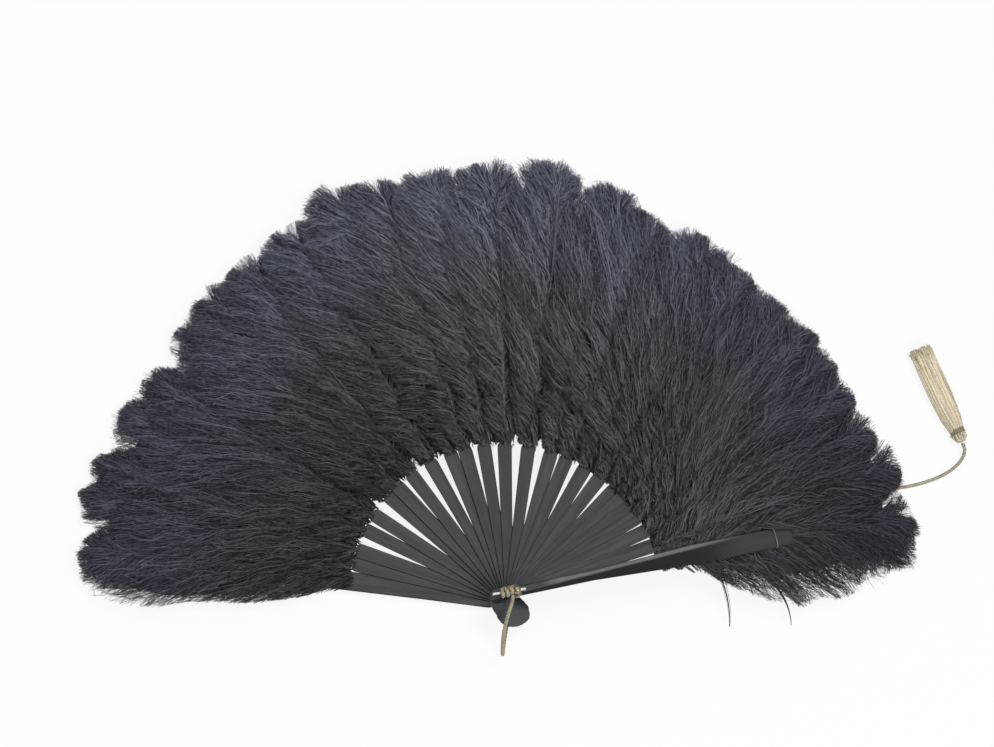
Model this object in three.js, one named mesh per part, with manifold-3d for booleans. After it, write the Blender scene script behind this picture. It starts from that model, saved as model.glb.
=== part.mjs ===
// A folding ostrich feather fan, lying open on a table, with its cord and tassel.
// Millimetres, +Z up. The origin is on the rivet's axis at the table, +Y runs up the middle of the fan
// and +X towards the front guard. Every stick turns about the Z axis on its own level of the stack.
import * as THREE from "three";
import { mergeVertices } from "three/addons/utils/BufferGeometryUtils.js";
import Module from "manifold-3d";

// The stack of sticks
const BACK_GUARD_DEG = 171.2; // directions of the open fan's centre lines, from +X
const FRONT_GUARD_DEG = 9.8;
const STICKS_DEG = [
  164.8, 159.6, 151.6, 145.1, 136.2, 131.2, 124.3, 115.7, 107.4, 101.8, 94.4, // left of the middle
  86.6, 77.6, 68.9, 62.8, 55.1, 48.6, 41.7, 37.3, 32.9, 28.4, 22.4, 16.3, // right of it
];
const STICK_THICK = 1;
const GUARD_THICK = 2.4;
const LAYER_GAP = 0.3; // between one level of the stack and the next

// A stick, measured from the rivet's axis
const TAIL_REACH = 24;
const BACK_TAIL_REACH = 13; // of the back guard's tail, growing over the next sticks
const BACK_TAIL_COUNT = 6;
const FRONT_TAIL_REACH = 20; // of the front guard's and of the sticks from here on
const FRONT_TAIL_FROM = 12;
const FRONT_TAIL_TO = 16;
const TAIL_W = 12;
const NECK_W = 8;
const NECK_R = 8;
const BLADE_ROOT_W = 7;
const BLADE_ROOT_R = 12;
const BLADE_W = 11.4;
const SHOULDER_R = 119;
const SHOULDER_RUN = 4;
const TANG_W = 4;
const TANG_END_R = 214;

// A guard has a stick's tail and a longer blade, slender at first and then swelling to its full width
const GUARD_W = 15.6;
const GUARD_END_R = 236;
const GUARD_SLENDER_R = 65;
const GUARD_FULL_R = 150;
const BACK_GUARD_ROOT_W = 14;
const FRONT_GUARD_ROOT_W = 7.6;
const GUARD_BEVEL = 0.7;

// The outer face of a guard slopes down from an oblique ridge to its outer edge
const RIDGE_OFF = 2; // from the centre line, at the rivet's axis
const RIDGE_DEG = 2.2;
const SLOPE_DEG = 9;
const SLOPE_START_R = 16;
const SLOPE_END_R = 200;
const SLOPE_RUN_OUT = 32;

// The rivet, its washer and the eye that holds the toggle bar
const PIN_D = 4;
const PIN_CLEAR = 0.3; // round the pin, in every hole that it goes through
const BUTTON_D = 9;
const BUTTON_H = 3.6;
const BUTTON_ROUND = 1;
const WASHER_D = 11;
const WASHER_H = 1;
const EYE_D = 6.4;
const EYE_NECK_D = 5.8;
const EYE_SOCKET = 2; // how far the pin goes up into the eye
const BAR_D = 2.2;
const BAR_CLEAR = 0.3; // round the bar in the eye
const BAR_L = 27.5;
const BAR_SHIFT = -6.5; // from the rivet's axis to the middle of the bar
const BAR_ROUND = 0.6;
const BAR_DEG = 8; // from +X

// Plumes, measured from the rivet's axis and up from the table
const PLUME_OFF_SHOULDER = 1; // from the end of a stick's shoulder to the root of its plume
const PLUME_TIP_R = 337;
const PLUME_TIP_LEAN = 8; // longer plumes towards the front guard
const PLUME_TIP_RISE = 24; // and at the middle of the fan
const PLUME_TIP_RISE_DEG = 83;
const PLUME_TIP_RISE_SPAN_DEG = 24;
const PLUME_TIP_UNEVEN = 5;
const PLUME_TIP_TURN = 1.9; // radians from one plume to the next
const PLUME_ROOT_H = 9;
const PLUME_LOFT = 18; // crown of a plume that lies on the table
const PLUME_OVER_STICK = 6; // crown above a stick that lies higher
const PLUME_TIP_H = 9;
const PLUME_TIP_LIFT = 2;
const PLUME_GAP = 0.5; // from plume to plume, at their roots
const PLUME_SEAT = 0.3; // round a tang, and between a guard and its plume
const PLUME_DROP = 8; // run in which a guard's plume falls away past the guard's end
const BACK_ROOT_DEG = 4.2; // how far the end plumes spread past their guards
const BACK_SWEEP_DEG = 7.5;
const FRONT_ROOT_DEG = 3;
const FRONT_SWEEP_DEG = 10.5;

// Along a plume, 0 is its root and 1 its tip
const CROWN_SHARE = 0.45;
const LIFT_SHARE = 0.85;
const SWEEP_SHARE = 0.65;
const FALL_EXPONENT = 1.5; // how the crown falls away towards the tip
const BODY_SHARES = [0.16, 0.32, CROWN_SHARE, 0.58];
const GUARD_ROOT_SHARE = 0.2;
const LAST_BODY_SHARE = 0.72;
const TIP_SHARES = [
  [0.9, 1],
  [0.955, 0.88],
  [0.985, 0.62],
  [1, 0.25],
];

// Across a plume, 0 is its middle and 1 its edge
const UNDERSIDE_SHARE = 0.6;
const SHOULDERS_SHARE = 0.5;
const SHOULDERS_UP_SHARE = 0.84; // from the plume's middle height to its crown

// The cord and its tassel
const CORD_D = 3;
const CORD_CLEAR = 0.3;
const CORD_UNDER_COUNT = 4; // plumes, counted from the front guard's, that the cord runs beneath
const CORD_UNDER_CLEAR = 0.8;
const HITCH_TURN_COUNT = 2;
const HITCH_GAP = 0.8; // from turn to turn
const HITCH_OFF_EYE = 0.5;
const TASSEL_X = 400;
const TASSEL_Y = 120;
const TASSEL_DEG = 109.5;
const KNOT_D = 13;
const KNOT_L = 7;
const NECK_THREADS_D = 10;
const BINDING_D = 13.6;
const BINDING_L = 5;
const BINDING_CLEAR = 0.3;
const SKIRT_L = 73;
const SKIRT_TOP_D = 17;
const SKIRT_END_D = 20;
const SKIRT_FLAT_RATIO = 0.55; // height over width of the skirt as it lies
const SKIRT_BELLY_SHARE = 0.8; // how much of its spread the skirt has halfway down

// The cord's way from its hitch: over the tails and down to the table, back beneath itself,
// past the rivet, under the sticks and plumes, and out to the tassel
const CORD_ROUTE = [
  [-4.6, -4.5, 47.8],
  [-5.3, -9, 47.5],
  [-7.6, -15.8, 45.6],
  [-9.8, -23.5, 41.8],
  [-10.7, -31, 35.5],
  [-9.9, -37.5, 27.2],
  [-8, -41.9, 18.5],
  [-5.8, -43.3, 10.5],
  [-4, -41.6, 5.4],
  [-2.4, -37.8, 2.7],
  [-1.1, -32.5, 1.7],
  [0.8, -25, 1.5],
  [3.4, -16, 1.5],
  [6.4, -6, 1.5],
  [11, 5, 1.5],
  [24, 17, 1.5],
  [52, 30, 1.5],
  [98, 45, 1.5],
  [152, 58, 1.5],
  [210, 69, 1.5],
  [268, 77, 1.5],
  [322, 82, 1.5],
  [360, 87, 1.5],
  [384, 95, 2],
  [397, 104, 3.3],
  [401.5, 112.5, 5.9],
  [400.2, 119.4, 6.8],
];

// Facets
const CURVE_STEPS = 4;
const ROUND_SIDES = 16;
const CORD_SIDES = 8;
const CORD_STEP_RATIO = 2.4; // cord diameters
const HITCH_STEPS = 24; // round one turn
const HITCH_SIDES = 6;
const GAP_SAMPLES = 400; // along the hitch, to find its least gap to itself
const WELD = 1e-4; // points nearer than this are one

const FRONT = STICKS_DEG.length + 1; // place of the front guard in the stack; the back guard's is 0
const rad = THREE.MathUtils.degToRad;
const lerp = THREE.MathUtils.lerp;
const smooth = THREE.MathUtils.smoothstep;

const wasm = await Module();
wasm.setup();

const paint = (color, roughness, metalness = 0) => () =>
  new THREE.MeshStandardMaterial({ color, roughness, metalness });
const ebonised = paint(0x3a3b3f, 0.55);
const plumage = paint(0x1f2024, 0.9);
const gilt = paint(0xb9a878, 0.7);
const silver = paint(0xc9c9cc, 0.3, 1);
const brass = paint(0xc2ad78, 0.35, 1);

const fan = new THREE.Group();

function add(name, geometry, finish, group = fan) {
  const mesh = new THREE.Mesh(geometry, finish());
  mesh.name = name;
  group.add(mesh);
  return mesh;
}

// Cuts

function solidOf(geometry) {
  const flat = geometry.index ? geometry.toNonIndexed() : geometry;
  const bare = new THREE.BufferGeometry();
  bare.setAttribute("position", flat.getAttribute("position"));
  const merged = mergeVertices(bare, WELD);
  return new wasm.Manifold(
    new wasm.Mesh({
      numProp: 3,
      vertProperties: merged.getAttribute("position").array,
      triVerts: new Uint32Array(merged.index.array),
    }),
  );
}

function cut(geometry, cutter) {
  const mesh = solidOf(geometry).subtract(solidOf(cutter)).getMesh();
  const left = new THREE.BufferGeometry();
  left.setAttribute("position", new THREE.BufferAttribute(mesh.vertProperties, 3));
  left.setIndex(new THREE.BufferAttribute(mesh.triVerts, 1));
  return left;
}

// Round pieces

// A profile of [radius, height] pairs, turned about the Z axis.
function turned(profile) {
  const points = profile.map(([radius, height]) => new THREE.Vector2(radius, height));
  return new THREE.LatheGeometry(points, ROUND_SIDES).rotateX(Math.PI / 2);
}

function sectionOf(diameter, sides) {
  const shape = new THREE.Shape();
  for (let side = 0; side < sides; side += 1) {
    const turn = (2 * Math.PI * (side + 0.5)) / sides;
    const corner = new THREE.Vector2(Math.cos(turn), Math.sin(turn)).multiplyScalar(diameter / 2);
    if (side === 0) {
      shape.moveTo(corner.x, corner.y);
    } else {
      shape.lineTo(corner.x, corner.y);
    }
  }
  return shape;
}

function tube(curve, diameter, sides, steps) {
  const options = { steps, extrudePath: curve, bevelEnabled: false };
  return new THREE.ExtrudeGeometry(sectionOf(diameter, sides), options);
}

// Levels and directions of the stack

function isGuard(place) {
  return place === 0 || place === FRONT;
}

function thicknessOf(place) {
  return isGuard(place) ? GUARD_THICK : STICK_THICK;
}

function levelOf(place) {
  let level = BUTTON_H + LAYER_GAP;
  for (let below = 0; below < place; below += 1) {
    level += thicknessOf(below) + LAYER_GAP;
  }
  return level;
}

function directionOf(place) {
  return [BACK_GUARD_DEG, ...STICKS_DEG, FRONT_GUARD_DEG][place];
}

function pieceName(place, kind) {
  if (isGuard(place)) {
    const guard = place === 0 ? "back_guard" : "front_guard";
    return kind === "stick" ? guard : `${guard}_${kind}`;
  }
  return `${kind}_${String(place).padStart(2, "0")}`;
}

// Sticks and guards, lying along +X with the rivet's axis at the origin

function tailReach(place) {
  const grown = lerp(BACK_TAIL_REACH, TAIL_REACH, smooth(place, 0, BACK_TAIL_COUNT));
  return lerp(grown, FRONT_TAIL_REACH, smooth(place, FRONT_TAIL_FROM, FRONT_TAIL_TO));
}

function drawHead(shape, rootW, place) {
  const lobe = TAIL_W / 2;
  const lobeX = lobe - tailReach(place);
  const neckX = Math.max(-NECK_R, lobeX);
  shape.moveTo(BLADE_ROOT_R, rootW / 2);
  shape.lineTo(-NECK_R / 2, NECK_W / 2);
  shape.quadraticCurveTo(neckX, NECK_W / 2, lobeX, lobe);
  shape.absarc(lobeX, 0, lobe, Math.PI / 2, (3 * Math.PI) / 2, false);
  shape.quadraticCurveTo(neckX, -NECK_W / 2, -NECK_R / 2, -NECK_W / 2);
  shape.lineTo(BLADE_ROOT_R, -rootW / 2);
  const hole = new THREE.Path();
  hole.absarc(0, 0, PIN_D / 2 + PIN_CLEAR, 0, 2 * Math.PI, true);
  shape.holes.push(hole);
}

const tangR = SHOULDER_R + SHOULDER_RUN;

function stickGeometry(place) {
  const shape = new THREE.Shape();
  drawHead(shape, BLADE_ROOT_W, place);
  shape.lineTo(SHOULDER_R, -BLADE_W / 2);
  shape.quadraticCurveTo(tangR, -BLADE_W / 2, tangR, -TANG_W / 2);
  shape.lineTo(TANG_END_R, -TANG_W / 2);
  shape.lineTo(TANG_END_R, TANG_W / 2);
  shape.lineTo(tangR, TANG_W / 2);
  shape.quadraticCurveTo(tangR, BLADE_W / 2, SHOULDER_R, BLADE_W / 2);
  const options = { depth: STICK_THICK, bevelEnabled: false, curveSegments: CURVE_STEPS };
  return new THREE.ExtrudeGeometry(shape, options);
}

// What is taken off a guard's upper face, on its -Y side, with a far end that runs out in a facet.
function guardSlope() {
  const length = SLOPE_END_R - SLOPE_START_R;
  const slope = new THREE.BoxGeometry(length, 2 * GUARD_W, GUARD_THICK);
  slope.translate(SLOPE_START_R + length / 2, -GUARD_W, GUARD_THICK / 2);
  const corners = slope.getAttribute("position");
  for (let corner = 0; corner < corners.count; corner += 1) {
    if (corners.getX(corner) > GUARD_FULL_R && corners.getZ(corner) < GUARD_THICK / 2) {
      corners.setX(corner, SLOPE_END_R - SLOPE_RUN_OUT);
    }
  }
  return slope.rotateX(rad(SLOPE_DEG)).rotateZ(rad(RIDGE_DEG)).translate(0, -RIDGE_OFF, GUARD_THICK);
}

function guardGeometry(rootW, place) {
  const shape = new THREE.Shape();
  const roundX = GUARD_END_R - GUARD_W / 2;
  drawHead(shape, rootW, place);
  shape.lineTo(GUARD_SLENDER_R, -rootW / 2);
  shape.lineTo(GUARD_FULL_R, -GUARD_W / 2);
  shape.lineTo(roundX, -GUARD_W / 2);
  shape.absarc(roundX, 0, GUARD_W / 2, -Math.PI / 2, Math.PI / 2, false);
  shape.lineTo(GUARD_FULL_R, GUARD_W / 2);
  shape.lineTo(GUARD_SLENDER_R, rootW / 2);
  const geometry = new THREE.ExtrudeGeometry(shape, {
    depth: GUARD_THICK - 2 * GUARD_BEVEL,
    bevelThickness: GUARD_BEVEL,
    bevelSize: GUARD_BEVEL,
    bevelOffset: -GUARD_BEVEL,
    bevelSegments: 1,
    curveSegments: CURVE_STEPS,
  });
  return cut(geometry.translate(0, 0, GUARD_BEVEL), guardSlope());
}

// The back guard is the front one turned over, with its outer face to the table.
function backGuardGeometry() {
  return guardGeometry(BACK_GUARD_ROOT_W, 0).rotateX(Math.PI).translate(0, 0, GUARD_THICK);
}

function bladeGeometry(place) {
  if (place === 0) {
    return backGuardGeometry();
  }
  return place === FRONT ? guardGeometry(FRONT_GUARD_ROOT_W, FRONT) : stickGeometry(place);
}

function addStick(place) {
  const stick = add(pieceName(place, "stick"), bladeGeometry(place), ebonised);
  stick.position.z = levelOf(place);
  stick.rotation.z = rad(directionOf(place));
}

// Plumes: a closed soft form in each stick's own sector, lofted from the root to a round tip

const plumeRootR = tangR + PLUME_OFF_SHOULDER;

function tipRadius(place) {
  const direction = directionOf(place);
  const offMiddle = (direction - PLUME_TIP_RISE_DEG) / PLUME_TIP_RISE_SPAN_DEG;
  const rise = PLUME_TIP_RISE * Math.exp(-offMiddle * offMiddle);
  const lean = PLUME_TIP_LEAN * Math.cos(rad(direction));
  return PLUME_TIP_R + lean + rise + PLUME_TIP_UNEVEN * Math.sin(PLUME_TIP_TURN * place);
}

// The sector's two edges, in degrees, at a place along the plume.
function edgesOf(place, along) {
  const own = directionOf(place);
  const spare = THREE.MathUtils.radToDeg(PLUME_GAP / 2 / plumeRootR);
  const swept = smooth(along, 0, SWEEP_SHARE);
  const left =
    place === 0
      ? own + lerp(BACK_ROOT_DEG, BACK_SWEEP_DEG, swept)
      : (own + directionOf(place - 1)) / 2 - spare;
  const right =
    place === FRONT
      ? own - lerp(FRONT_ROOT_DEG, FRONT_SWEEP_DEG, swept)
      : (own + directionOf(place + 1)) / 2 + spare;
  return [left, right];
}

// The lowest and highest of the plume's root, round its tang, over the back guard or under the front one.
function rootHeights(place) {
  const level = levelOf(place);
  if (place === 0) {
    const seat = level + GUARD_THICK + PLUME_SEAT;
    return [seat, seat + PLUME_ROOT_H];
  }
  if (place === FRONT) {
    const seat = level - PLUME_SEAT;
    return [seat - PLUME_ROOT_H, seat];
  }
  const middle = level + STICK_THICK / 2;
  return [middle - PLUME_ROOT_H / 2, middle + PLUME_ROOT_H / 2];
}

function heightsOf(place, along, radius) {
  const [rootLow, rootHigh] = rootHeights(place);
  const floor = place > FRONT - CORD_UNDER_COUNT ? CORD_D + CORD_UNDER_CLEAR : 0;
  const overStick = Math.max(PLUME_LOFT, rootHigh - PLUME_ROOT_H / 2 + PLUME_OVER_STICK);
  const crown = place === FRONT ? rootHigh : overStick;
  const rise = smooth(along, 0, CROWN_SHARE);
  const past = Math.max(0, (along - CROWN_SHARE) / (1 - CROWN_SHARE));
  const lift = PLUME_TIP_LIFT * smooth(along, LIFT_SHARE, 1);
  let low = lerp(rootLow, floor, rise) + lift;
  let high = lerp(lerp(rootHigh, crown, rise), floor + PLUME_TIP_H, past ** FALL_EXPONENT);
  if (radius < GUARD_END_R + PLUME_SEAT + WELD) {
    low = place === 0 ? rootLow : low;
    high = place === FRONT ? rootHigh : high;
  }
  return [low, high];
}

// Seven points round the plume, anticlockwise as seen from its tip.
function plumeSection(place, along, width) {
  const radius = lerp(plumeRootR, tipRadius(place), along);
  const [left, right] = edgesOf(place, along);
  const [low, high] = heightsOf(place, along, radius);
  const middle = (low + high) / 2;
  const shoulder = lerp(middle, high, SHOULDERS_UP_SHARE);
  const round = [
    [-UNDERSIDE_SHARE, low],
    [UNDERSIDE_SHARE, low],
    [1, middle],
    [SHOULDERS_SHARE, shoulder],
    [0, high],
    [-SHOULDERS_SHARE, shoulder],
    [-1, middle],
  ];
  return round.map(([across, z]) => {
    const turn = rad((left + right) / 2 + (across * width * (left - right)) / 2);
    return new THREE.Vector3(radius * Math.cos(turn), radius * Math.sin(turn), z);
  });
}

function loft(sections) {
  const count = sections[0].length;
  const positions = sections.flat().flatMap((point) => point.toArray());
  const faces = [];
  for (let ring = 0; ring + 1 < sections.length; ring += 1) {
    for (let corner = 0; corner < count; corner += 1) {
      const here = ring * count + corner;
      const next = ring * count + ((corner + 1) % count);
      faces.push(here, next, next + count, here, next + count, here + count);
    }
  }
  const last = (sections.length - 1) * count;
  for (let corner = 1; corner + 1 < count; corner += 1) {
    faces.push(0, corner + 1, corner, last, last + corner, last + corner + 1);
  }
  const geometry = new THREE.BufferGeometry();
  geometry.setAttribute("position", new THREE.Float32BufferAttribute(positions, 3));
  geometry.setIndex(faces);
  return geometry;
}

function plumeStations(place) {
  const length = tipRadius(place) - plumeRootR;
  const alongOf = (radius) => (radius - plumeRootR) / length;
  const guardEnd = GUARD_END_R + PLUME_SEAT;
  const body = isGuard(place)
    ? [GUARD_ROOT_SHARE, CROWN_SHARE, alongOf(guardEnd), alongOf(guardEnd + PLUME_DROP)]
    : BODY_SHARES;
  const full = [0, ...body, LAST_BODY_SHARE].sort((one, other) => one - other);
  return [...full.map((along) => [along, 1]), ...TIP_SHARES];
}

function tangPocket(place) {
  const length = TANG_END_R + PLUME_SEAT - tangR;
  const pocket = new THREE.BoxGeometry(length, TANG_W + 2 * PLUME_SEAT, STICK_THICK + 2 * PLUME_SEAT);
  pocket.translate(tangR + length / 2, 0, levelOf(place) + STICK_THICK / 2);
  return pocket.rotateZ(rad(directionOf(place)));
}

function addPlume(place) {
  const sections = plumeStations(place).map(([along, width]) => plumeSection(place, along, width));
  const form = loft(sections);
  const geometry = isGuard(place) ? form : cut(form, tangPocket(place));
  add(pieceName(place, "plume"), geometry, plumage);
}

// The rivet through the stack, with the washer, the eye and the toggle bar on top

const washerZ = levelOf(FRONT) + GUARD_THICK + LAYER_GAP;
const eyeZ = washerZ + WASHER_H + LAYER_GAP;
const pinTopZ = eyeZ + EYE_SOCKET;
const barZ = washerZ + WASHER_H + 2 * CORD_CLEAR + CORD_D + BAR_D / 2;
const pinHoleR = PIN_D / 2 + PIN_CLEAR;
const grip = new THREE.Group(); // the bar and the cord's hitch on it
grip.rotation.z = rad(BAR_DEG);
fan.add(grip);

function addRivet() {
  const pin = turned([
    [0, 0],
    [BUTTON_D / 2 - BUTTON_ROUND, 0],
    [BUTTON_D / 2, BUTTON_ROUND],
    [BUTTON_D / 2, BUTTON_H],
    [PIN_D / 2, BUTTON_H],
    [PIN_D / 2, pinTopZ],
    [0, pinTopZ],
  ]);
  add("rivet_pin", pin, brass);
  const washer = turned([
    [pinHoleR, 0],
    [WASHER_D / 2, 0],
    [WASHER_D / 2, WASHER_H],
    [pinHoleR, WASHER_H],
    [pinHoleR, 0],
  ]);
  add("rivet_washer", washer, brass).position.z = washerZ;
}

function addEye() {
  const ballR = EYE_D / 2;
  const neckR = EYE_NECK_D / 2;
  const profile = [
    [0, pinTopZ + PIN_CLEAR],
    [pinHoleR, pinTopZ + PIN_CLEAR],
    [pinHoleR, eyeZ],
    [neckR, eyeZ],
  ];
  const lowest = -Math.acos(neckR / ballR);
  for (let step = 0; step <= CURVE_STEPS; step += 1) {
    const turn = lerp(lowest, Math.PI / 2, step / CURVE_STEPS);
    const radius = step === CURVE_STEPS ? 0 : ballR * Math.cos(turn);
    profile.push([radius, barZ + ballR * Math.sin(turn)]);
  }
  const holeR = BAR_D / 2 + BAR_CLEAR;
  const hole = new THREE.CylinderGeometry(holeR, holeR, 2 * EYE_D, ROUND_SIDES);
  hole.rotateZ(Math.PI / 2 + rad(BAR_DEG)).translate(0, 0, barZ);
  add("cord_eye", cut(turned(profile), hole), brass);
}

function addBar() {
  const bar = turned([
    [0, 0],
    [BAR_D / 2 - BAR_ROUND, 0],
    [BAR_D / 2, BAR_ROUND],
    [BAR_D / 2, BAR_L - BAR_ROUND],
    [BAR_D / 2 - BAR_ROUND, BAR_L],
    [0, BAR_L],
  ]);
  bar.rotateY(Math.PI / 2);
  add("toggle_bar", bar, silver, grip).position.set(BAR_SHIFT - BAR_L / 2, 0, barZ);
}

// The cord: its hitch round the bar, the free stretch and the tassel on its end

function leastGap(curve, diameter, turnLength) {
  const points = curve.getSpacedPoints(GAP_SAMPLES);
  const apart = Math.ceil((turnLength / 2 / curve.getLength()) * GAP_SAMPLES);
  let least = Infinity;
  for (let one = 0; one < points.length; one += 1) {
    for (let other = one + apart; other < points.length; other += 1) {
      least = Math.min(least, points[one].distanceTo(points[other]));
    }
  }
  return least - diameter;
}

function addHitch() {
  const reach = BAR_D / 2 + CORD_CLEAR + CORD_D / 2;
  const endX = -(EYE_D / 2 + HITCH_OFF_EYE + CORD_D / 2);
  const startX = endX - HITCH_TURN_COUNT * (CORD_D + HITCH_GAP);
  const points = [new THREE.Vector3(startX, CORD_D, barZ + reach)];
  const steps = HITCH_TURN_COUNT * HITCH_STEPS;
  for (let step = 0; step <= steps; step += 1) {
    const turn = (2 * Math.PI * (steps - step)) / HITCH_STEPS;
    const x = lerp(startX, endX, step / steps);
    points.push(new THREE.Vector3(x, reach * Math.sin(turn), barZ + reach * Math.cos(turn)));
  }
  points.push(new THREE.Vector3(endX, -CORD_D, barZ + reach));
  const curve = new THREE.CatmullRomCurve3(points);
  const gap = leastGap(curve, CORD_D, 2 * Math.PI * reach);
  console.log(`cord_hitch: least gap to itself ${gap.toFixed(2)} mm`);
  add("cord_hitch", tube(curve, CORD_D, HITCH_SIDES, steps + 2 * HITCH_TURN_COUNT), gilt, grip);
}

function addCord() {
  const curve = new THREE.CatmullRomCurve3(CORD_ROUTE.map((point) => new THREE.Vector3(...point)));
  const steps = Math.round(curve.getLength() / (CORD_STEP_RATIO * CORD_D));
  add("cord", tube(curve, CORD_D, CORD_SIDES, steps), gilt);
}

function addTassel() {
  const tassel = new THREE.Group();
  const thickest = Math.max(KNOT_D, BINDING_D, SKIRT_END_D * SKIRT_FLAT_RATIO);
  tassel.position.set(TASSEL_X, TASSEL_Y, thickest / 2);
  tassel.rotation.z = rad(TASSEL_DEG);
  fan.add(tassel);

  const neckR = NECK_THREADS_D / 2;
  const knot = [[0, 0]];
  for (let step = 1; step < 2 * CURVE_STEPS; step += 1) {
    const turn = (Math.PI * step) / (2 * CURVE_STEPS);
    knot.push([(KNOT_D / 2) * Math.sin(turn), (KNOT_L / 2) * (1 - Math.cos(turn))]);
  }
  knot.push([0, KNOT_L]);
  add("tassel_knot", turned(knot).rotateY(Math.PI / 2), gilt, tassel);

  const ringR = neckR + BINDING_CLEAR;
  const binding = turned([
    [ringR, 0],
    [BINDING_D / 2, 0],
    [BINDING_D / 2, BINDING_L],
    [ringR, BINDING_L],
    [ringR, 0],
  ]);
  add("tassel_binding", binding.rotateY(Math.PI / 2), gilt, tassel).position.x = KNOT_L + BINDING_CLEAR;

  const neckL = BINDING_L + BINDING_CLEAR;
  const skirt = turned([
    [0, 0],
    [neckR, 0],
    [neckR, neckL],
    [SKIRT_TOP_D / 2, neckL + SKIRT_TOP_D / 2],
    [lerp(SKIRT_TOP_D, SKIRT_END_D, SKIRT_BELLY_SHARE) / 2, neckL + SKIRT_L / 2],
    [SKIRT_END_D / 2, neckL + SKIRT_L],
    [0, neckL + SKIRT_L],
  ]);
  skirt.rotateY(Math.PI / 2).scale(1, 1, SKIRT_FLAT_RATIO);
  add("tassel_skirt", skirt, gilt, tassel).position.x = KNOT_L + BINDING_CLEAR;
}

for (let place = 0; place <= FRONT; place += 1) {
  addStick(place);
  addPlume(place);
}
addRivet();
addEye();
addBar();
addHitch();
addCord();
addTassel();

export default fan;
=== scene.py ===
import math

import bpy
import numpy as np
from mathutils import Matrix, Vector


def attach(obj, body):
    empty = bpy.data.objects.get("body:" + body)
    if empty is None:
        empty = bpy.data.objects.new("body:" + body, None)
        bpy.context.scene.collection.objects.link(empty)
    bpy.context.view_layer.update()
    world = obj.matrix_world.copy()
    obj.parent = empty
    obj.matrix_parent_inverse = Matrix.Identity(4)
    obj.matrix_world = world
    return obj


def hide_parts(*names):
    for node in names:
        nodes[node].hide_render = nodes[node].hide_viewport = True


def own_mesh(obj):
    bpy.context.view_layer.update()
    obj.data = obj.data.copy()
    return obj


# A folding ostrich feather fan that lies open, with its cord and tassel.
# Lengths are in millimetres in the making and in metres in the scene.

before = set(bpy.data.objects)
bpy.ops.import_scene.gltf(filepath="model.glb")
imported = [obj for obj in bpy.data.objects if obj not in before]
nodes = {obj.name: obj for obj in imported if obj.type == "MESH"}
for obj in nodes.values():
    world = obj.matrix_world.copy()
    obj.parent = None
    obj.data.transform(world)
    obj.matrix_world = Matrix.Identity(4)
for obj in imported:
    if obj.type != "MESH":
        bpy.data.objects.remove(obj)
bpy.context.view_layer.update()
MM = 0.001


# The camera, at the photograph's viewing angle

LENS_MM, SENSOR_MM = 135, 36
CAMERA_HEADING = math.radians(42)
CAMERA_DOWN = math.radians(68)
PICTURE_UP = math.radians(85)
AIM = Vector((8.02, 180.44, 15)) * MM
STAND_OFF = 2937.3 * MM


def make_camera():
    flat, down = math.cos(CAMERA_DOWN), math.sin(CAMERA_DOWN)
    look = Vector((flat * math.cos(CAMERA_HEADING), flat * math.sin(CAMERA_HEADING), -down))
    right = look.cross(Vector((math.cos(PICTURE_UP), math.sin(PICTURE_UP), 0))).normalized()
    up = right.cross(look)
    data = bpy.data.cameras.new("photo_camera")
    data.lens = LENS_MM
    data.sensor_width = SENSOR_MM
    camera = bpy.data.objects.new("photo_camera", data)
    turn = Matrix((right, up, -look)).transposed().to_4x4()
    camera.matrix_world = Matrix.Translation(AIM - STAND_OFF * look) @ turn
    bpy.context.scene.collection.objects.link(camera)
    bpy.context.scene.camera = camera


make_camera()


# Meshes

LEAST_LENGTH = 1e-9
NEARLY_UPRIGHT = 0.1  # the sine of a path's angle from upright
SPAN_STEPS = 40  # of a curve, from one point of its route to the next


def smooth(value, low, high):
    """From 0 at low to 1 at high, with soft ends."""
    share = np.clip((value - low) / (high - low), 0, 1)
    return share * share * (3 - 2 * share)


def unit(vectors):
    return vectors / np.maximum(np.linalg.norm(vectors, axis=-1, keepdims=True), LEAST_LENGTH)


def distances(path):
    """How far along a path each of its points lies."""
    return np.concatenate([[0], np.cumsum(np.linalg.norm(np.diff(path, axis=0), axis=1))])


def new_piece(name, points_mm, faces, finish, body):
    """A mesh object from points in the fan's frame, riding on a body."""
    mesh = bpy.data.meshes.new(name)
    mesh.from_pydata((np.asarray(points_mm, float) * MM).tolist(), [], faces)
    mesh.polygons.foreach_set("use_smooth", [True] * len(mesh.polygons))
    mesh.materials.append(finish)
    mesh.update()
    piece = bpy.data.objects.new(name, mesh)
    bpy.context.scene.collection.objects.link(piece)
    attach(piece, body)
    return piece


def set_value(piece, name, values):
    """A number for each of a piece's points, which its finish reads by name."""
    layer = piece.data.attributes.new(name, "FLOAT", "POINT")
    layer.data.foreach_set("value", np.asarray(values, np.float32).ravel())


def ring_faces(rings, sides, first=0):
    """Quads between rings of points that follow each other, with an end cap on each of the outer ones."""
    faces = []
    for ring in range(rings - 1):
        here = first + ring * sides
        for side in range(sides):
            after = (side + 1) % sides
            faces.append((here + side, here + after, here + sides + after, here + sides + side))
    faces.append(tuple(first + side for side in reversed(range(sides))))
    last = first + (rings - 1) * sides
    faces.append(tuple(last + side for side in range(sides)))
    return faces


def carried_frames(path):
    """Two directions across a path at each of its points, carried along it without twisting."""
    along = unit(np.gradient(path, axis=0))
    start = np.cross(along[0], [0, 0, 1.0])
    if np.linalg.norm(start) < NEARLY_UPRIGHT:
        start = np.cross(along[0], [1.0, 0, 0])
    across = [unit(start)]
    for tangent in along[1:]:
        kept = across[-1] - tangent * (across[-1] @ tangent)
        across.append(unit(kept))
    across = np.array(across)
    return across, np.cross(along, across)


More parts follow.
